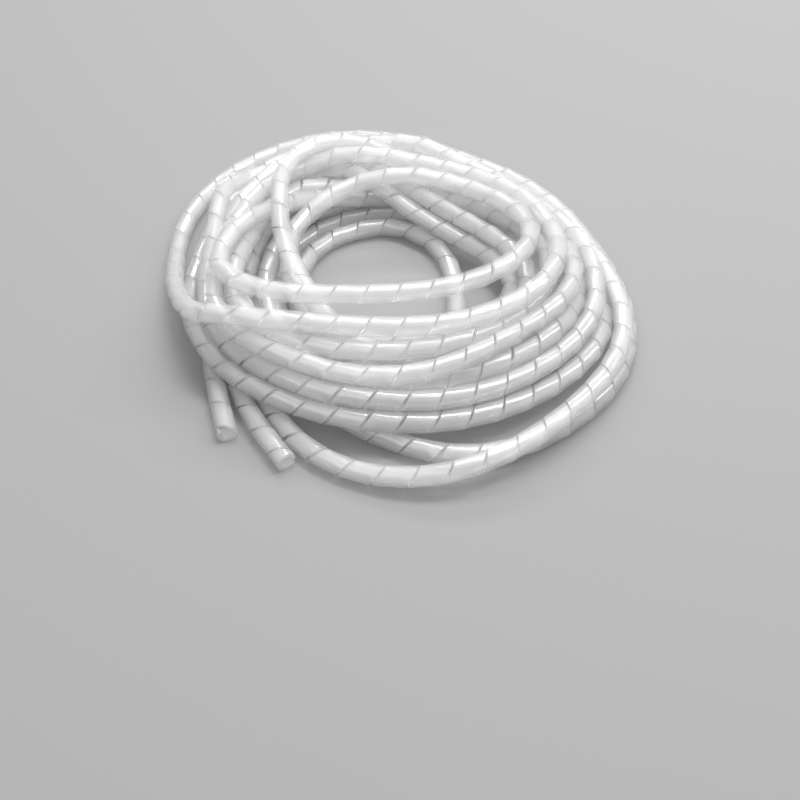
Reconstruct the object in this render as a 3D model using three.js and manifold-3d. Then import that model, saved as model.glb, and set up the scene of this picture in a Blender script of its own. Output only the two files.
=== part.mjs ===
// Spiral cable wrap: one length of slit polyethylene tube, lying as a loose round coil.
// The coil is one turned solid with its eye. Its turns show as ridges on every side of it.
// The strands that stray from the coil, and the two free ends, are tubes joined to it.
// Millimetres, +Z up. The coil lies flat on z = 0, and its free ends point to -Y.

import * as THREE from 'three';
import { mergeVertices } from 'three/addons/utils/BufferGeometryUtils.js';
import Module from 'manifold-3d';

// The wrap
const WRAP_DIAMETER = 6;
const WRAP_SIDES = 8;

// The coil: its eye, and its layers of turns, each lying in the grooves of the one below
const EYE_RADIUS = 31;
const FIRST_LAYER_TURNS = 6;
const LAYERS = 4;
const COIL_SIDES = 48;

// How finely the round forms are cut
const RIDGE_STEP_DEG = 60;
const STRAND_STEP_DIAMETERS = 2.2;

// The look of the plastic
const WRAP_COLOR = 0xe9ebea;
const WRAP_ROUGHNESS = 0.3;

// Worked out from the sizes above
const WRAP_RADIUS = WRAP_DIAMETER / 2;
const LAYER_RISE = WRAP_DIAMETER * Math.sin(Math.PI / 3);
const FLAT_HALF_ANGLE = Math.PI / WRAP_SIDES;
const REST_HEIGHT = WRAP_RADIUS * Math.cos(FLAT_HALF_ANGLE);
const COIL_RADIUS = EYE_RADIUS + FIRST_LAYER_TURNS * WRAP_DIAMETER;
const LAST_LAYER_HEIGHT = REST_HEIGHT + (LAYERS - 1) * LAYER_RISE;

// Heights of a strand's middle: on the floor, on one strand, between those, on the coil's
// slope, and on its top
const ON_FLOOR = WRAP_RADIUS;
const ON_STRAND = ON_FLOOR + LAYER_RISE;
const RISING = (ON_FLOOR + ON_STRAND) / 2;
const ON_SLOPE = ON_STRAND + LAYER_RISE;
const ON_COIL = LAST_LAYER_HEIGHT + WRAP_DIAMETER * 0.9;

const polar = (radius, angle) => [radius * Math.cos(angle), radius * Math.sin(angle)];

// A strand's point, as a compass angle in degrees, how many diameters of the wrap its middle
// stands out from the coil's outer wall, and its height
function wall(degrees, out, height) {
  const radius = COIL_RADIUS + out * WRAP_DIAMETER;
  const [x, y] = polar(radius, THREE.MathUtils.degToRad(degrees));
  return new THREE.Vector3(x, y, height);
}

// A strand's point by the eye: x and y as shares of the eye's radius, and its height
function eye(x, y, height) {
  return new THREE.Vector3(x * EYE_RADIUS, y * EYE_RADIUS, height);
}

// The strands that stray from the coil, each from inside the coil to inside it again, and
// the two free ends, each from inside the coil to its cut end
const STRANDS = {
  front_loop: [
    wall(213, -2.15, RISING), wall(224, -1.5, ON_FLOOR), wall(235, -0.6, ON_FLOOR),
    wall(245, 0.4, ON_FLOOR), wall(255, 1.15, ON_FLOOR), wall(265, 1.65, ON_FLOOR),
    wall(275, 1.9, RISING), wall(284, 2, ON_STRAND), wall(294, 1.75, ON_STRAND),
    wall(304, 1.5, ON_STRAND), wall(314, 1.25, ON_STRAND), wall(325, 1.1, ON_STRAND),
    wall(335, 0.85, ON_STRAND), wall(345, 0.35, ON_STRAND), wall(356, -0.35, ON_STRAND),
    wall(368, -1, ON_STRAND),
  ],
  second_front_loop: [
    wall(246, -1.65, RISING), wall(259, -1.15, ON_FLOOR), wall(271, -0.35, ON_FLOOR),
    wall(281, 0.5, ON_FLOOR), wall(291, 1, ON_FLOOR), wall(301, 1.15, ON_FLOOR),
    wall(312, 1.25, ON_FLOOR), wall(322, 1.25, ON_FLOOR), wall(333, 1.15, ON_FLOOR),
    wall(343, 0.85, ON_FLOOR), wall(354, 0.35, ON_FLOOR), wall(365, -0.35, ON_FLOOR),
    wall(378, -1, ON_FLOOR),
  ],
  left_and_top_loop: [
    wall(70, -1, ON_STRAND), wall(84, -0.15, ON_STRAND), wall(95, 0.75, ON_STRAND),
    wall(104, 1.5, ON_STRAND), wall(113, 2.15, RISING), wall(124, 2.6, ON_FLOOR),
    wall(135, 2.6, ON_FLOOR), wall(144, 2.35, ON_FLOOR), wall(154, 1.9, ON_FLOOR),
    wall(164, 1.4, ON_FLOOR), wall(174, 0.9, RISING), wall(184, 0.6, ON_STRAND),
    wall(195, 0.25, ON_SLOPE), wall(205, 0, LAST_LAYER_HEIGHT), wall(214, -0.85, ON_COIL),
    wall(228, -2.35, ON_COIL), wall(244, -3.65, ON_COIL), wall(262, -4.35, ON_COIL),
    wall(281, -4.5, ON_COIL), wall(300, -4.15, ON_COIL), wall(318, -3.75, ON_COIL),
    wall(334, -3.4, ON_COIL), wall(350, -3.15, ON_COIL), wall(367, -3.15, ON_COIL - WRAP_RADIUS),
    wall(384, -3.35, LAST_LAYER_HEIGHT),
  ],
  crossing: [
    wall(170, -3, LAST_LAYER_HEIGHT), wall(183, -2.15, ON_COIL - WRAP_RADIUS),
    wall(195, -1.6, ON_COIL), wall(207, -2.35, ON_COIL), eye(-0.93, -0.84, ON_COIL),
    eye(-0.49, -0.82, ON_COIL), eye(0, -0.84, ON_COIL), eye(0.44, -0.76, ON_COIL),
    eye(0.75, -0.62, ON_COIL), eye(0.98, -0.42, ON_COIL), eye(1.22, -0.18, ON_COIL),
    eye(1.34, 0.15, ON_COIL - WRAP_RADIUS), eye(1.31, 0.5, LAST_LAYER_HEIGHT),
    eye(1.12, 0.82, LAST_LAYER_HEIGHT),
  ],
  eye_strand: [
    eye(-0.8, 0.72, ON_FLOOR), eye(-0.58, 0.87, ON_FLOOR), eye(-0.36, 0.94, ON_FLOOR),
    eye(-0.11, 0.92, ON_FLOOR), eye(0.11, 0.81, ON_FLOOR), eye(0.31, 0.64, ON_FLOOR),
    eye(0.46, 0.41, ON_FLOOR), eye(0.54, 0.13, ON_FLOOR), eye(0.56, -0.16, ON_FLOOR),
    eye(0.55, -0.46, RISING), eye(0.54, -0.77, ON_STRAND), eye(0.58, -1.1, ON_STRAND),
    eye(0.68, -1.35, ON_STRAND),
  ],
  left_free_end: [
    wall(178, -1.5, ON_STRAND), wall(188, -1.25, RISING), wall(198, -1, ON_FLOOR),
    wall(207, -0.65, ON_FLOOR), wall(215, -0.1, ON_FLOOR), wall(222, 0.5, ON_FLOOR),
    wall(228, 1.25, ON_FLOOR), wall(233, 2.15, ON_FLOOR),
  ],
  front_free_end: [
    wall(207, -1.85, ON_FLOOR), wall(215, -1.25, ON_FLOOR), wall(222, -0.6, ON_FLOOR),
    wall(229, 0, ON_FLOOR), wall(236, 0.65, ON_FLOOR), wall(243, 1.35, ON_FLOOR),
    wall(248, 2.1, ON_FLOOR),
  ],
};

// The middles of the turns that show on the coil's section, counter-clockwise from its foot
function borderTurns() {
  const layer = (k) => {
    const turns = [];
    for (let i = 0; i < FIRST_LAYER_TURNS - k; i += 1) {
      const radius = EYE_RADIUS + WRAP_RADIUS * (1 + k) + i * WRAP_DIAMETER;
      turns.push(new THREE.Vector2(radius, REST_HEIGHT + k * LAYER_RISE));
    }
    return turns;
  };
  const layers = Array.from({ length: LAYERS }, (_, k) => layer(k));
  const middle = layers.slice(1, -1);
  return [
    ...layers[0],
    ...middle.map((turns) => turns.at(-1)),
    ...layers.at(-1).reverse(),
    ...middle.reverse().map((turns) => turns[0]),
  ];
}

// One turn's share of the section's outline, from where it touches the turn before it on
// round its outer side. A turn on the floor or on the top layer has a flat there.
function ridge(before, turn, after) {
  const full = 2 * Math.PI;
  const start = Math.atan2(before.y - turn.y, before.x - turn.x);
  let end = Math.atan2(after.y - turn.y, after.x - turn.x);
  while (end <= start) end += full;
  const level = Math.abs(end - start - Math.PI) < 0.01;
  const angles = [start];
  if (level) {
    const middle = (start + end) / 2;
    angles.push(middle - FLAT_HALF_ANGLE, middle + FLAT_HALF_ANGLE);
  } else {
    const steps = Math.ceil((end - start) / THREE.MathUtils.degToRad(RIDGE_STEP_DEG));
    for (let i = 1; i < steps; i += 1) angles.push(start + ((end - start) * i) / steps);
  }
  return angles.map((angle) => {
    const [across, up] = polar(WRAP_RADIUS, angle);
    return new THREE.Vector2(turn.x + across, turn.y + up);
  });
}

// The coil: its ridged section turned about the eye's axis
function coilGeometry() {
  const turns = borderTurns();
  const outline = turns.flatMap((turn, i) => {
    const before = turns.at(i - 1);
    const after = turns[(i + 1) % turns.length];
    return ridge(before, turn, after);
  });
  outline.push(outline[0].clone());
  const geometry = new THREE.LatheGeometry(outline, COIL_SIDES);
  geometry.rotateX(Math.PI / 2);
  return geometry;
}

// A tube along a smooth curve through a strand's points
function strandGeometry(points) {
  const curve = new THREE.CatmullRomCurve3(points, false, 'centripetal');
  const section = new THREE.Shape();
  for (let i = 0; i < WRAP_SIDES; i += 1) {
    const [x, y] = polar(WRAP_RADIUS, (2 * Math.PI * (i + 0.5)) / WRAP_SIDES);
    if (i === 0) section.moveTo(x, y);
    else section.lineTo(x, y);
  }
  section.closePath();
  const step = STRAND_STEP_DIAMETERS * WRAP_DIAMETER;
  return new THREE.ExtrudeGeometry(section, {
    steps: Math.ceil(curve.getLength() / step),
    extrudePath: curve,
  });
}

// Joins closed geometries into one closed solid
const wasm = await Module();
wasm.setup();

function toSolid(geometry) {
  const bare = geometry.clone();
  bare.deleteAttribute('normal');
  bare.deleteAttribute('uv');
  const merged = mergeVertices(bare, 1e-4);
  return new wasm.Manifold(new wasm.Mesh({
    numProp: 3,
    vertProperties: new Float32Array(merged.attributes.position.array),
    triVerts: new Uint32Array(merged.index.array),
  }));
}

function toGeometry(solid) {
  const mesh = solid.getMesh();
  const geometry = new THREE.BufferGeometry();
  geometry.setAttribute('position', new THREE.BufferAttribute(mesh.vertProperties, 3));
  geometry.setIndex(new THREE.BufferAttribute(mesh.triVerts, 1));
  return geometry;
}

const wrapSolid = Object.values(STRANDS)
  .map((points) => toSolid(strandGeometry(points)))
  .reduce((joined, strand) => joined.add(strand), toSolid(coilGeometry()));

// The origin is under the middle of the whole wrap, on the floor
const geometry = toGeometry(wrapSolid);
geometry.computeBoundingBox();
const middle = geometry.boundingBox.getCenter(new THREE.Vector3());
geometry.translate(-middle.x, -middle.y, -geometry.boundingBox.min.z);
geometry.computeVertexNormals();

const material = new THREE.MeshStandardMaterial({
  color: WRAP_COLOR,
  roughness: WRAP_ROUGHNESS,
  metalness: 0,
  flatShading: true,
});
const wrap = new THREE.Mesh(geometry, material);
wrap.name = 'spiral_wrap';

const part = new THREE.Group();
part.name = 'spiral_cable_wrap';
part.add(wrap);

export default part;
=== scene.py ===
import math

import bpy
import numpy as np
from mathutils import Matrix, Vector


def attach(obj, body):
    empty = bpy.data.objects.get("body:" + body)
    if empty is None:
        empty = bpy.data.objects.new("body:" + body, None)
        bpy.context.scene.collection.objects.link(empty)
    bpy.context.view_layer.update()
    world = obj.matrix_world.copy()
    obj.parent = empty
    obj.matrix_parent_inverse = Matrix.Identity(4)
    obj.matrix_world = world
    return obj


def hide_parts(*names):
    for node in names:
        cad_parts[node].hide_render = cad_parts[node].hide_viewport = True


# A loose round coil of spiral cable wrap: one helically slit band of milky plastic, from one
# free end to the other through every turn. Lengths are in millimetres until a mesh is made.

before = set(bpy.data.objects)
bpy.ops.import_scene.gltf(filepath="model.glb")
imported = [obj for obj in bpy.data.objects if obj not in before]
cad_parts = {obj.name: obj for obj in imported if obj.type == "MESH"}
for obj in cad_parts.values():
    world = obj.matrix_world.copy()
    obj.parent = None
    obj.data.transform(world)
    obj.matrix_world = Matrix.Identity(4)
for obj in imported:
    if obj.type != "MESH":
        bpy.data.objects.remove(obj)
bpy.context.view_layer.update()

MM = 0.001

# The wrap: its tube, the pitch of its band, the slit between the band's turns, and how much
# the band's edges are rounded
WRAP_DIAMETER = 6.0
WRAP_RADIUS = WRAP_DIAMETER / 2
WALL = 1.0
PITCH = 9.5
SLIT = 0.5
EDGE_ROUND = 0.18

# Where the coil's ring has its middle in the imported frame
RING_CENTRE = Vector((1.6668, 2.0140, 0.0))

# The photograph's view: the camera looks at the ring's middle, on the floor, from the front
VIEW_DISTANCE = 398.0
VIEW_ELEVATION = math.radians(42.5)
PHOTO_SIZE = 800.0
FOCAL_PIXELS = 1254.0
RING_CENTRE_ROW = 293.0
SENSOR = 36.0
CLIP_START = 0.01

# How finely the route is cut: degrees between a hidden stretch's points, steps between two
# points, a segment's length while the coil settles, and a step of the finished line
TURN_STEP = 20.0
CURVE_STEPS = 12
SEGMENT = 4.5
LINE_STEP = 1.0

# The settling: first the strands sink and push each other apart, then they push with a
# small gap between them and hardly sink
SINK_ROUNDS = 300
PUSH_ROUNDS = 260
SINK = 0.08
LATE_SINK = 0.01
PULL = 0.03
LATE_PULL = 0.02
LATE_GAP = 0.1
STIFFNESS = 0.055
SEARCH_EVERY = 8
SEARCH_MARGIN = 3.0
SAME_STRAND_DIAMETERS = 2.2
PUSH_SHARE = 0.7
CROWD_POWER = 0.6

# How firmly a stretch keeps its place while the coil settles. What shows is held, and so are
# the turns on the floor, which carry the heap. Other hidden stretches are loose.
HELD = 1.0
HALF_HELD = 0.5
LOOSE = 0.0

# The band's mesh: steps to a turn, the sharpest smooth edge, where its first step lies past
# its end, how far it stops short, and the least gap between its turns inside a bend
STEPS_PER_TURN = 14
SHARP_ANGLE = math.radians(35)
FIRST_STEP = 0.5
LAST_STEP_SHORT = 1.0
BEND_GAP = 0.05

# The margin round each island, and its size, as shares of its cell of the texture
ISLAND_MARGIN = 0.04
ISLAND_SIZE = 1 - 2 * ISLAND_MARGIN

# The plastic: how much of the light each surface stops, how milky it is and how deep, its
# clouds from clearer to milkier, and the fine lines that the die leaves along it
PLASTIC_OPACITY = 0.3
MILKINESS = 0.5
MILKY_DEPTH = 4.0
CLEAR_TINT = (0.88, 0.89, 0.89, 1)
MILKY_TINT = (0.99, 0.99, 0.985, 1)
CLEAR_ROUGHNESS = 0.14
MILKY_ROUGHNESS = 0.28
CLOUDS_PER_MM = 0.25
DIE_LINES_PER_MM = 2.2
DIE_LINE_STRETCH = 0.05
DIE_LINE_DEPTH = 0.1
DIE_LINE_STRENGTH = 0.25

# The studio, in metres and watts. A light has its direction, distance, size and power.
FLOOR_SIZE = 6.0
FLOOR_COLOUR = (0.32, 0.32, 0.32, 1)
FLOOR_ROUGHNESS = 0.9
SKY_COLOUR = (1, 1, 1, 1)
SKY_STRENGTH = 0.38
LIGHTS = {
    "key": ((0.15, 0.3, 1.0), 1.0, (0.6, 0.1), 6.8),
    "back": ((0.0, 0.74, 0.68), 1.2, (1.0, 0.08), 5.0),
    "side": ((0.62, 0.2, 0.74), 1.0, (0.1, 0.6), 3.4),
    "fill": ((-0.5, -0.6, 1.2), 1.4, (0.9, 0.9), 3.8),
}

# Light passes through many strands of the heap before it is spent
SURFACES_PASSED = 12


def make_camera():
    """The photograph's camera, with the coil above the middle of the picture."""
    data = bpy.data.cameras.new("camera")
    data.sensor_width = SENSOR
    data.lens = FOCAL_PIXELS / PHOTO_SIZE * SENSOR
    data.shift_y = (RING_CENTRE_ROW - PHOTO_SIZE / 2) / PHOTO_SIZE
    data.clip_start = CLIP_START
    camera = bpy.data.objects.new("camera", data)
    bpy.context.scene.collection.objects.link(camera)
    back = Vector((0.0, -math.cos(VIEW_ELEVATION), math.sin(VIEW_ELEVATION)))
    camera.location = (RING_CENTRE + back * VIEW_DISTANCE) * MM
    camera.rotation_euler = (-back).to_track_quat("-Z", "Y").to_euler()
    bpy.context.scene.camera = camera


make_camera()

# The wrap's way through the coil. Each point is a compass angle in degrees, how far it lies
# from the ring's middle, and its height. A stretch that shows follows the photograph.
FREE_END_B = [
    (246.9, 77.6, 3), (243.8, 75.5, 3), (238.5, 71, 3), (230.5, 66, 3), (221, 62, 3),
    (210, 58.5, 3),
]
EYE_LOOP = [
    (183, 32.5, 3), (166, 33, 3), (150, 34, 3), (133, 35, 3), (118, 35, 3), (101, 33, 3),
    (84, 29, 3), (63, 24, 3), (36, 19, 3), (4, 18, 3), (337, 20, 3), (314, 25, 4.5),
    (302, 32.5, 6.5),
]
U_TURN = [
    (296, 41, 9.5), (297, 50, 9.5), (303, 57, 9), (313, 59.5, 8.5), (324, 56, 8.5), (335, 51, 8.5),
    (348, 45, 8.5),
]
FRONT_LOOP = [
    (222, 60, 6), (232, 64, 3), (237, 66.5, 3), (242, 69.5, 3), (249, 72, 3), (255, 74.5, 3),
    (263, 76.5, 3), (270, 78, 4), (276, 79, 6), (282, 79.5, 8), (288, 79, 9), (294, 78, 9),
    (301, 76.5, 9), (309, 74, 9), (317, 73.5, 9), (326, 73.5, 9), (334, 73, 9), (341, 71, 9),
    (348, 68, 9.5), (356, 64.5, 10),
]
TOP_EDGE = [
    (4, 60.5, 9), (15, 59, 9), (26, 59, 9), (37, 59, 9), (50, 59, 9), (63, 59.5, 9), (78, 64, 9),
    (90, 69.5, 9), (99, 73, 9), (107, 77, 7.5),
]
LEFT_LOOP = [
    (114, 81, 5), (122, 83, 3.5), (131, 83, 3), (139, 81.5, 3), (148, 79.5, 3), (158, 77.5, 3),
    (167, 75, 3), (176, 70, 3.5), (183, 66.5, 6), (190, 66, 9.5), (197, 67, 13), (203, 67.5, 16),
    (209, 65, 19), (215, 61, 22),
]
TOP_LOOP = [
    (223, 54, 23), (234, 48, 24), (251, 42, 24), (270, 40, 24), (290, 41, 24), (311, 44, 24),
    (328, 46, 24), (345, 48, 23), (1, 48, 22), (18, 46, 21), (36, 43, 20), (56, 41, 19.5),
    (76.5, 42, 19), (99, 45.7, 19), (116, 54, 17), (128.5, 57.5, 16), (140, 58, 16), (155, 55, 16),
]
FRONT_SECOND = [
    (172, 51, 16), (184, 53.5, 16), (193, 57.5, 16), (200, 60, 17), (208, 60.5, 19), (217, 60, 20),
    (226, 57, 19), (240, 55, 18), (254, 55, 18), (270, 54, 18), (285, 53, 18), (303, 51, 18),
    (324, 52, 18), (342, 54, 18), (357, 55, 18),
]
FRONT_FIRST = [
    (176, 46.5, 19), (188, 50, 19), (198, 55, 20), (207, 58, 21), (216, 58, 22), (225, 55, 21),
    (237, 51, 20), (252, 46, 19), (270, 43, 18), (289, 43, 18), (310, 44, 18), (330, 46, 18),
    (348, 47, 18), (3, 46, 18),
]
CROSSING = [
    (153, 45, 20), (166, 48, 21.5), (179, 51.5, 22), (188, 55, 22), (195, 57.5, 22), (202, 57, 23),
    (207, 53, 24), (212, 47, 24.5), (222, 39, 24), (239, 29.5, 24), (270, 26, 24), (300, 27, 24),
    (320, 30, 24), (337, 33, 24), (351, 38, 23), (5, 42, 22), (19, 43, 21), (33, 42, 20),
    (49, 39, 19), (70, 38, 18), (90, 37, 17), (108, 36, 17), (123, 39, 16), (137, 40, 15),
    (146, 40.5, 13), (158, 38.5, 12), (169, 37, 11), (180, 35, 10), (195, 33, 10), (210, 32, 10),
]
LOW_DIAGONAL = [
    (352, 37, 8), (6, 35, 8), (17, 31, 8), (32, 26.5, 8), (59, 25, 8), (83, 29, 9), (98, 37, 10),
    (109, 47, 11), (117, 56, 12), (126, 61, 12), (136, 62, 12),
]
FRONT_THIRD = [
    (180, 53.5, 13), (189, 57.5, 13), (197, 60.5, 13), (205, 62, 14), (214, 61, 15),
    (222, 59.5, 14), (232, 60, 13), (242, 60, 13), (255, 60, 13), (270, 59, 13), (284, 58, 13),
    (299, 57, 13), (316, 58, 13), (332, 60, 13), (345, 61, 13), (357, 60, 13),
]
BACK_SECOND = [
    (16, 54, 12), (34, 52, 12), (54, 51, 12), (71, 53, 12), (90, 57, 12), (106, 64, 12),
    (117, 68, 11), (128, 70, 10), (138, 69, 8), (145, 67.5, 7), (153, 67, 5), (162, 66, 4),
    (171, 64, 4), (180, 62, 5), (190, 61.5, 6), (200, 62.5, 7),
]
FRONT_EDGE = [
    (210, 64, 8), (219, 64, 8), (225, 63, 8), (234, 62, 8), (243, 61, 8), (254, 61, 8),
    (270, 62, 8), (283, 62, 8), (296, 63, 8), (310, 64, 8), (324, 65, 8), (336, 66, 8),
    (346, 66, 8),
]
SECOND_FRONT_LOOP = [
    (232, 58, 9), (244, 57, 8), (254, 58, 5), (263, 61, 3), (271, 66, 3), (278, 70, 3),
    (284, 72, 3), (290, 73.5, 3), (297, 74, 3), (305, 74, 3), (313, 74, 3), (321, 74.5, 3),
    (329, 75, 3), (337, 74, 3), (344, 72, 3), (351, 70, 3.5), (358, 68, 4.5),
]
LEFT_CHORD = [
    (110, 55, 19), (120, 55.5, 20), (131, 54.5, 20), (142, 49.5, 20), (156, 43, 20), (175, 37, 20),
    (188, 34, 19), (202, 32, 17), (214, 31, 14), (232, 33, 13), (252, 38, 13),
]
HIGH_DIAGONAL = [
    (0, 39, 13), (13, 35, 13), (29, 31, 13), (48, 28, 13), (73, 30, 13), (91, 37, 13),
    (103, 48, 13), (112, 57, 13), (121, 62, 13), (132, 60, 12),
]
FREE_END_A = [
    (145, 56, 12), (151, 58, 10), (160, 58.5, 9), (167, 59, 8), (175, 59.5, 6.5), (183, 60, 5),
    (191, 61, 3.5), (199, 61.5, 3), (206.6, 63, 3), (213.5, 66.3, 3), (220.9, 70.5, 3),
    (227.3, 74.8, 3), (232.5, 77.1, 3),
]


def compass(angle, front, right, back, left):
    """A value that passes smoothly through four values at the coil's four sides."""
    quarter = (np.asarray(angle, float) - 270.0) / 90.0 % 4
    sides = np.array([front, right, back, left, front], float)
    low = quarter.astype(int)
    share = (1 - np.cos(np.pi * (quarter - low))) / 2
    return sides[low] * (1 - share) + sides[low + 1] * share


def turns(first, last, start, end, height):
    """Neat hidden turns. start and end are their radii at front, right, back and left."""
    angle = np.linspace(first, last, round(abs(last - first) / TURN_STEP) + 1)
    share = (angle - first) / (last - first)
    radius = compass(angle, *start) * (1 - share) + compass(angle, *end) * share
    return list(zip(angle, radius, np.full(len(angle), height)))


def passage(first, last, *sides):
    """A hidden stretch through the coil. sides are its radius and height at the four sides."""
    angle = np.linspace(first, last, round(abs(last - first) / TURN_STEP) + 1)
    radius = compass(angle, *[side[0] for side in sides])
    height = compass(angle, *[side[1] for side in sides])
    return list(zip(angle, radius, height))


# The hidden turns on the floor, and on those
FLOOR_TURNS = turns(200, -880, (57, 55, 56, 54), (38, 36, 36, 33.5), 3.0)
SECOND_LAYER = turns(365, 925, (40, 42, 41, 38), (56, 54, 53, 50), 8.2)

# Every stretch in the wrap's order, and how firmly it keeps its place
ROUTE = [
    (HELD, FREE_END_B),
    (HELD, FLOOR_TURNS),
    (HELD, EYE_LOOP),
    (HELD, U_TURN),
    (LOOSE, SECOND_LAYER),
    (HELD, FRONT_LOOP),
    (HELD, TOP_EDGE),
    (HELD, LEFT_LOOP),
    (HELD, TOP_LOOP),
    (HELD, FRONT_SECOND),
    (LOOSE, passage(15, 160, (50, 18), (51, 15), (46, 9), (47, 19))),
    (HELD, FRONT_FIRST),
    (LOOSE, passage(25, 135, (48, 18), (44, 13), (40, 9), (47, 19))),
    (HELD, CROSSING),
    (LOOSE, passage(225, 335, (38, 13), (38, 10), (50, 13), (32, 10))),
    (HELD, LOW_DIAGONAL),
    (LOOSE, [(150, 57, 12), (165, 53, 12)]),
    (HELD, FRONT_THIRD),
    (HELD, BACK_SECOND),
    (HELD, FRONT_EDGE),
    (HALF_HELD, passage(0, 215, (58, 9), (59, 4), (58.5, 3), (54, 9))),
    (HELD, SECOND_FRONT_LOOP),
    (HALF_HELD, passage(15, 150, (58, 10), (65, 3), (64.5, 3), (56, 7))),
    (LOOSE, passage(175, 430, (51, 13), (52.5, 9), (52, 9), (52, 11))),
    (HELD, LEFT_CHORD),
    (LOOSE, passage(270, 340, (44, 14), (41, 13), (50, 13), (45, 13))),
    (HELD, HIGH_DIAGONAL),
    (HELD, FREE_END_A),
]


def route_points():
    """All the points of the route, and how firmly each keeps its place."""
    points = np.array([point for _, stretch in ROUTE for point in stretch], float)
    held = np.array([firmness for firmness, stretch in ROUTE for _ in stretch])
    angle = np.radians(points[:, 0])
    across = points[:, 1] * np.cos(angle)
    along = points[:, 1] * np.sin(angle)
    return np.stack([across, along, points[:, 2]], 1), held


def smooth_curve(points, held, spacing):
    """A centripetal Catmull-Rom curve through the points, resampled at an even spacing."""
    ends = (2 * points[0] - points[1], 2 * points[-1] - points[-2])
    p = np.vstack([ends[0], points, ends[1]])
    knots = np.concatenate([[0], np.cumsum(np.sqrt(np.linalg.norm(np.diff(p, axis=0), axis=1)))])
    curve, firmness = [], []
    for i in range(1, len(p) - 2):
        t0, t1, t2, t3 = knots[i - 1:i + 3]
        t = np.linspace(t1, t2, CURVE_STEPS, endpoint=False)[:, None]
        a1 = (t1 - t) / (t1 - t0) * p[i - 1] + (t - t0) / (t1 - t0) * p[i]
        a2 = (t2 - t) / (t2 - t1) * p[i] + (t - t1) / (t2 - t1) * p[i + 1]
        a3 = (t3 - t) / (t3 - t2) * p[i + 1] + (t - t2) / (t3 - t2) * p[i + 2]
        b1 = (t2 - t) / (t2 - t0) * a1 + (t - t0) / (t2 - t0) * a2
        b2 = (t3 - t) / (t3 - t1) * a2 + (t - t1) / (t3 - t1) * a3
        curve.append((t2 - t) / (t2 - t1) * b1 + (t - t1) / (t2 - t1) * b2)
        share = ((t - t1) / (t2 - t1))[:, 0]
        firmness.append(held[i - 1] * (1 - share) + held[i] * share)
    return resample(np.vstack(curve + [p[-2:-1]]), spacing, np.append(firmness, held[-1]))


def resample(curve, spacing, firmness):
    """The same curve with its points an even distance apart, and their firmness."""
    distance = path_length(curve)
    at = np.linspace(0, distance[-1], round(distance[-1] / spacing) + 1)
    even = np.stack([np.interp(at, distance, curve[:, k]) for k in range(3)], 1)
    return even, np.interp(at, distance, firmness)


def path_length(curve):
    """How far along the curve each of its points is."""
    return np.concatenate([[0], np.cumsum(np.linalg.norm(np.diff(curve, axis=0), axis=1))])


def near_pairs(points, reach, skip):
    """Pairs of segments whose middles lie within reach, and that are skip or more apart."""
    middle = ((points[1:] + points[:-1]) / 2).astype(np.float32)
    square = (middle ** 2).sum(1)
    distance = square[:, None] + square[None, :] - 2 * (middle @ middle.T)
    return np.nonzero(np.triu(distance < reach * reach, skip))


def closest(points, i, j):
    """Shares along segments i and j of their closest points, and the way between those."""
    p, q = points[i], points[j]
    u, v = points[i + 1] - p, points[j + 1] - q
    w = p - q
    a, b, c = (u * u).sum(1), (u * v).sum(1), (v * v).sum(1)
    d, e = (u * w).sum(1), (v * w).sum(1)
    det = a * c - b * b
    s = np.where(det > 1e-6, (b * e - c * d) / np.maximum(det, 1e-6), 0.5)
    s = np.clip(s, 0, 1)
    t = np.clip((b * s + e) / c, 0, 1)
    s = np.clip((b * t - d) / a, 0, 1)
    return s, t, (p + u * s[:, None]) - (q + v * t[:, None])


def pushes(points, pairs, reach):
    """How far each point is pushed by the strands that lie closer than reach."""
    i, j = pairs
    s, t, way = closest(points, i, j)
    distance = np.linalg.norm(way, axis=1)
    hit = distance < reach
    i, j, s, t, way, distance = i[hit], j[hit], s[hit], t[hit], way[hit], distance[hit]
    push = way / np.maximum(distance, 1e-3)[:, None] * (reach - distance)[:, None]
    count = len(points)
    move = np.zeros_like(points)
    weight = np.zeros(count)
    for at, share, sign in ((i, 1 - s, 1), (i + 1, s, 1), (j, 1 - t, -1), (j + 1, t, -1)):
        weight += np.bincount(at, weights=share, minlength=count)
        for k in range(3):
            move[:, k] += np.bincount(at, weights=sign * share * push[:, k], minlength=count)
    return PUSH_SHARE * move / np.maximum(weight, 1)[:, None] ** CROWD_POWER


def bending(points):
    """How sharply the curve bends away from an even one at each point, none at a free end."""
    second = points[2:] - 2 * points[1:-1] + points[:-2]
    out = np.zeros_like(points)
    out[1:-1] -= 2 * second
    out[2:] += second
    out[:-2] += second
    return out


def smoothed(shift):
    """The points' shifts, each shared with the points beside it, as a springy wrap does."""
    out = shift.copy()
    out[1:-1] = shift[1:-1] * 0.5 + (shift[:-2] + shift[2:]) * 0.25
    return out


def settle(start, held):
    """The strands' way once they lie on each other and on the floor, none through another."""
    points, target = start.copy(), start.copy()
    skip = math.ceil(SAME_STRAND_DIAMETERS * WRAP_DIAMETER / SEGMENT)
    for k in range(SINK_ROUNDS + PUSH_ROUNDS):
        if k % SEARCH_EVERY == 0:
            pairs = near_pairs(points, WRAP_DIAMETER + SEGMENT + SEARCH_MARGIN, skip)
        late = k >= SINK_ROUNDS
        move = pushes(points, pairs, WRAP_DIAMETER + (LATE_GAP if late else 0))
        move[:, 2] -= LATE_SINK if late else SINK
        move += (target - points) * ((LATE_PULL if late else PULL) * held)[:, None]
        move -= STIFFNESS * bending(points)
        shift = smoothed(points + move - target)
        if not late:
            shift = smoothed(shift)
        points = target + shift
        target = target - STIFFNESS * bending(target)
        points[:, 2] = np.maximum(points[:, 2], WRAP_RADIUS)
    return points


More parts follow.
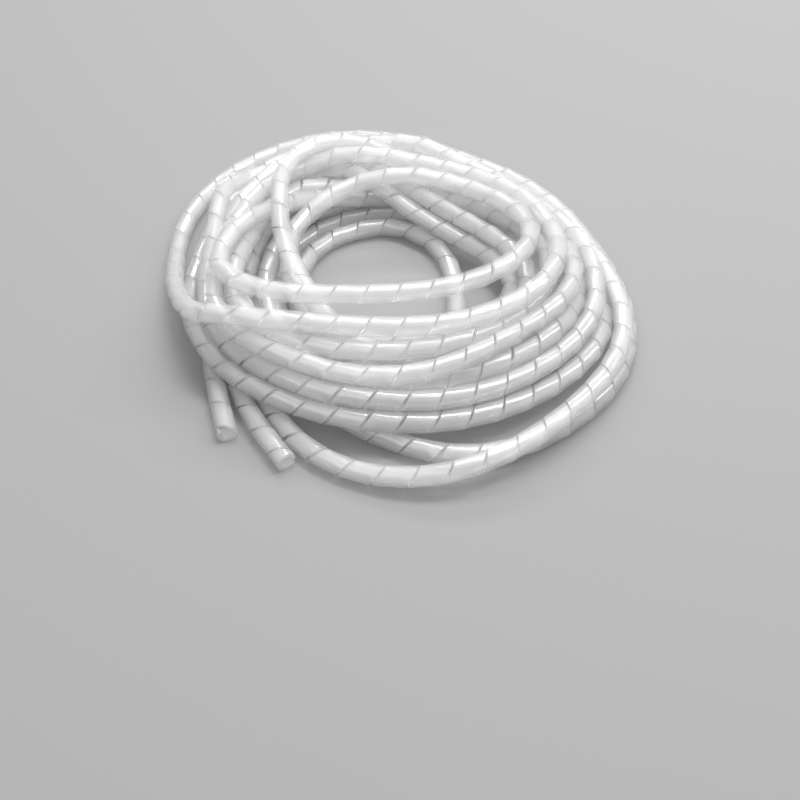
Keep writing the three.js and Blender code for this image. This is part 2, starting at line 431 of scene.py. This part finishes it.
def settled_route():
    """The wrap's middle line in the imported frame, in millimetres, at an even spacing."""
    points, held = route_points()
    start, firmness = smooth_curve(points, held, SEGMENT)
    settled = settle(start, firmness)
    line, _ = smooth_curve(settled, firmness, LINE_STEP)
    return line + np.array(RING_CENTRE)


def frames_along(line):
    """Directions along the line and two across it that turn as little as they can."""
    tangent = np.gradient(line, axis=0)
    tangent /= np.linalg.norm(tangent, axis=1)[:, None]
    side = np.zeros_like(line)
    side[0] = np.cross(tangent[0], (0, 0, 1))
    side[0] /= np.linalg.norm(side[0])
    for k in range(1, len(line)):
        step = side[k - 1] - tangent[k] * (side[k - 1] @ tangent[k])
        side[k] = step / np.linalg.norm(step)
    return tangent, side, np.cross(tangent, side)


# The band's section, corner by corner: the side of its middle line, how far it is cut back
# from that edge, and how deep it lies in the wall
BAND_SECTION = [
    (-1, 0.0, EDGE_ROUND), (-1, EDGE_ROUND, 0.0), (1, EDGE_ROUND, 0.0), (1, 0.0, EDGE_ROUND),
    (1, 0.0, WALL - EDGE_ROUND), (1, EDGE_ROUND, WALL), (-1, EDGE_ROUND, WALL),
    (-1, 0.0, WALL - EDGE_ROUND),
]


def band_vertices(line):
    """The slit band round the line, its section's corners for each step, in millimetres."""
    distance = path_length(line)
    length = distance[-1]
    tangent, side, up = frames_along(line)
    curvature = np.gradient(tangent, distance, axis=0)
    half = (PITCH - SLIT) / 2
    count = int((length + 2 * half - LAST_STEP_SHORT) / PITCH * STEPS_PER_TURN)
    step = np.arange(count)
    at = -half + FIRST_STEP + step * PITCH / STEPS_PER_TURN
    angle = -2 * np.pi * step / STEPS_PER_TURN

    def sampled(values):
        return np.stack([np.interp(at, distance, values[:, k]) for k in range(3)], 1)

    middle, ahead = sampled(line), sampled(tangent)
    outward = np.cos(angle)[:, None] * sampled(side) + np.sin(angle)[:, None] * sampled(up)
    beyond = at - np.clip(at, 0, length)
    middle = middle + ahead * beyond[:, None]
    # On the inner side of a bend the turns meet, so the band is as wide as its share there
    squeeze = 1 - WRAP_RADIUS * (sampled(curvature) * outward).sum(1)
    reach = np.minimum(half, PITCH / 2 * squeeze - BEND_GAP)
    corners = []
    for way, cut, depth in BAND_SECTION:
        out = way * (reach - cut)
        out = np.clip(at + out, 0, length) - at
        corners.append(middle + ahead * out[:, None] + outward * (WRAP_RADIUS - depth))
    return np.stack(corners, 1), at, angle


def make_band(line):
    """The wrap's mesh: closed, with a texture island for each turn of the band."""
    corners, at, angle = band_vertices(line)
    count, around = corners.shape[:2]
    index = np.arange(count * around).reshape(count, around)
    onward = np.roll(index, -1, axis=1)
    quads = np.stack([index[:-1], onward[:-1], onward[1:], index[1:]], -1).reshape(-1, 4)
    faces = [tuple(q) for q in quads.tolist()]
    faces += [tuple(index[0][::-1].tolist()), tuple(index[-1].tolist())]
    mesh = bpy.data.meshes.new("spiral_band")
    mesh.from_pydata((corners.reshape(-1, 3) * MM).tolist(), [], faces)
    mesh.polygons.foreach_set("use_smooth", np.ones(len(faces), bool))
    add_strand_coordinates(mesh, at, angle, around)
    add_islands(mesh, count, around)
    mesh.validate()
    mesh.set_sharp_from_angle(angle=SHARP_ANGLE)
    return mesh


def add_strand_coordinates(mesh, at, angle, around):
    """A vector at each vertex, round and along the strand in millimetres, for the material."""
    across = WRAP_RADIUS * np.cos(angle)
    up = WRAP_RADIUS * np.sin(angle)
    strand = np.stack([across, up, at], 1)
    attribute = mesh.attributes.new("strand", "FLOAT_VECTOR", "POINT")
    values = np.repeat(strand, around, axis=0)
    attribute.data.foreach_set("vector", values.ravel().astype(np.float32))


def add_islands(mesh, count, around):
    """Each turn of the band gets a cell of the texture, its steps across and section up."""
    turn_count = math.ceil((count - 1) / STEPS_PER_TURN)
    columns = math.ceil(math.sqrt(turn_count))
    layer = mesh.uv_layers.new(name="OFBake")
    quad = np.arange((count - 1) * around)
    step, corner = quad // around, quad % around
    turn, part = step // STEPS_PER_TURN, step % STEPS_PER_TURN
    left, low = turn % columns, turn // columns
    uv = np.zeros((len(quad), 4, 2))
    for k, (ahead, over) in enumerate(((0, 0), (0, 1), (1, 1), (1, 0))):
        across = ISLAND_MARGIN + ISLAND_SIZE * (part + ahead) / STEPS_PER_TURN
        up = ISLAND_MARGIN + ISLAND_SIZE * (corner + over) / around
        uv[:, k, 0] = (left + across) / columns
        uv[:, k, 1] = (low + up) / columns
    caps = np.full((2 * around, 2), 1 - ISLAND_MARGIN / columns)
    values = np.vstack([uv.reshape(-1, 2), caps])
    layer.data.foreach_set("uv", values.ravel().astype(np.float32))


line = settled_route()
wrap = bpy.data.objects.new("spiral_band", make_band(line))
bpy.context.scene.collection.objects.link(wrap)
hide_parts("spiral_wrap")
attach(wrap, "root")


def wrap_material():
    """Milky translucent polyethylene: glossy, faintly clouded, with the die's fine lines along it."""
    material = bpy.data.materials.new("milky_polyethylene")
    material.use_nodes = True
    nodes, links = material.node_tree.nodes, material.node_tree.links
    shader = nodes["Principled BSDF"]
    shader.inputs["IOR"].default_value = 1.51
    shader.inputs["Specular IOR Level"].default_value = 1.0
    shader.inputs["Coat Weight"].default_value = 1.0
    shader.inputs["Coat Roughness"].default_value = 0.08
    shader.inputs["Coat IOR"].default_value = 1.8
    shader.inputs["Alpha"].default_value = PLASTIC_OPACITY
    shader.inputs["Subsurface Weight"].default_value = MILKINESS
    shader.inputs["Subsurface Radius"].default_value = (1.0, 1.0, 1.0)
    shader.inputs["Subsurface Scale"].default_value = MILKY_DEPTH * MM

    strand = nodes.new("ShaderNodeAttribute")
    strand.attribute_name = "strand"

    clouds = nodes.new("ShaderNodeTexNoise")
    clouds.inputs["Scale"].default_value = CLOUDS_PER_MM
    clouds.inputs["Detail"].default_value = 3.0
    links.new(strand.outputs["Vector"], clouds.inputs["Vector"])

    tint = nodes.new("ShaderNodeMix")
    tint.data_type = "RGBA"
    tint.inputs["A"].default_value = CLEAR_TINT
    tint.inputs["B"].default_value = MILKY_TINT
    links.new(clouds.outputs["Fac"], tint.inputs["Factor"])
    links.new(tint.outputs["Result"], shader.inputs["Base Color"])

    gloss = nodes.new("ShaderNodeMapRange")
    gloss.inputs["To Min"].default_value = CLEAR_ROUGHNESS
    gloss.inputs["To Max"].default_value = MILKY_ROUGHNESS
    links.new(clouds.outputs["Fac"], gloss.inputs["Value"])
    links.new(gloss.outputs["Result"], shader.inputs["Roughness"])

    stretch = nodes.new("ShaderNodeVectorMath")
    stretch.operation = "MULTIPLY"
    stretch.inputs[1].default_value = (1.0, 1.0, DIE_LINE_STRETCH)
    links.new(strand.outputs["Vector"], stretch.inputs[0])
    die_lines = nodes.new("ShaderNodeTexNoise")
    die_lines.inputs["Scale"].default_value = DIE_LINES_PER_MM
    die_lines.inputs["Detail"].default_value = 2.0
    links.new(stretch.outputs["Vector"], die_lines.inputs["Vector"])
    bump = nodes.new("ShaderNodeBump")
    bump.inputs["Strength"].default_value = DIE_LINE_STRENGTH
    bump.inputs["Distance"].default_value = DIE_LINE_DEPTH * MM
    links.new(die_lines.outputs["Fac"], bump.inputs["Height"])
    links.new(bump.outputs["Normal"], shader.inputs["Normal"])
    return material


wrap.data.materials.append(wrap_material())


def make_floor():
    """A plain pale floor."""
    bpy.ops.mesh.primitive_plane_add(size=FLOOR_SIZE, location=(0, 0, 0))
    floor = bpy.context.object
    floor.name = "floor"
    material = bpy.data.materials.new("floor")
    material.use_nodes = True
    shader = material.node_tree.nodes["Principled BSDF"]
    shader.inputs["Base Color"].default_value = FLOOR_COLOUR
    shader.inputs["Roughness"].default_value = FLOOR_ROUGHNESS
    floor.data.materials.append(material)


def area_light(name, direction, distance, size, power):
    """A soft box that shines on the coil from a direction."""
    data = bpy.data.lights.new(name, "AREA")
    data.shape = "RECTANGLE"
    data.size, data.size_y = size
    data.energy = power
    light = bpy.data.objects.new(name, data)
    bpy.context.scene.collection.objects.link(light)
    away = Vector(direction).normalized()
    light.location = away * distance
    light.rotation_euler = (-away).to_track_quat("-Z", "Y").to_euler()


def make_sky():
    """An even white glow from all round."""
    world = bpy.data.worlds.new("studio")
    world.use_nodes = True
    background = world.node_tree.nodes["Background"]
    background.inputs["Color"].default_value = SKY_COLOUR
    background.inputs["Strength"].default_value = SKY_STRENGTH
    bpy.context.scene.world = world


make_floor()
for name, (direction, distance, size, power) in LIGHTS.items():
    area_light(name, direction, distance, size, power)
make_sky()
bpy.context.scene.view_settings.view_transform = "Standard"
bpy.context.scene.cycles.transparent_max_bounces = SURFACES_PASSED
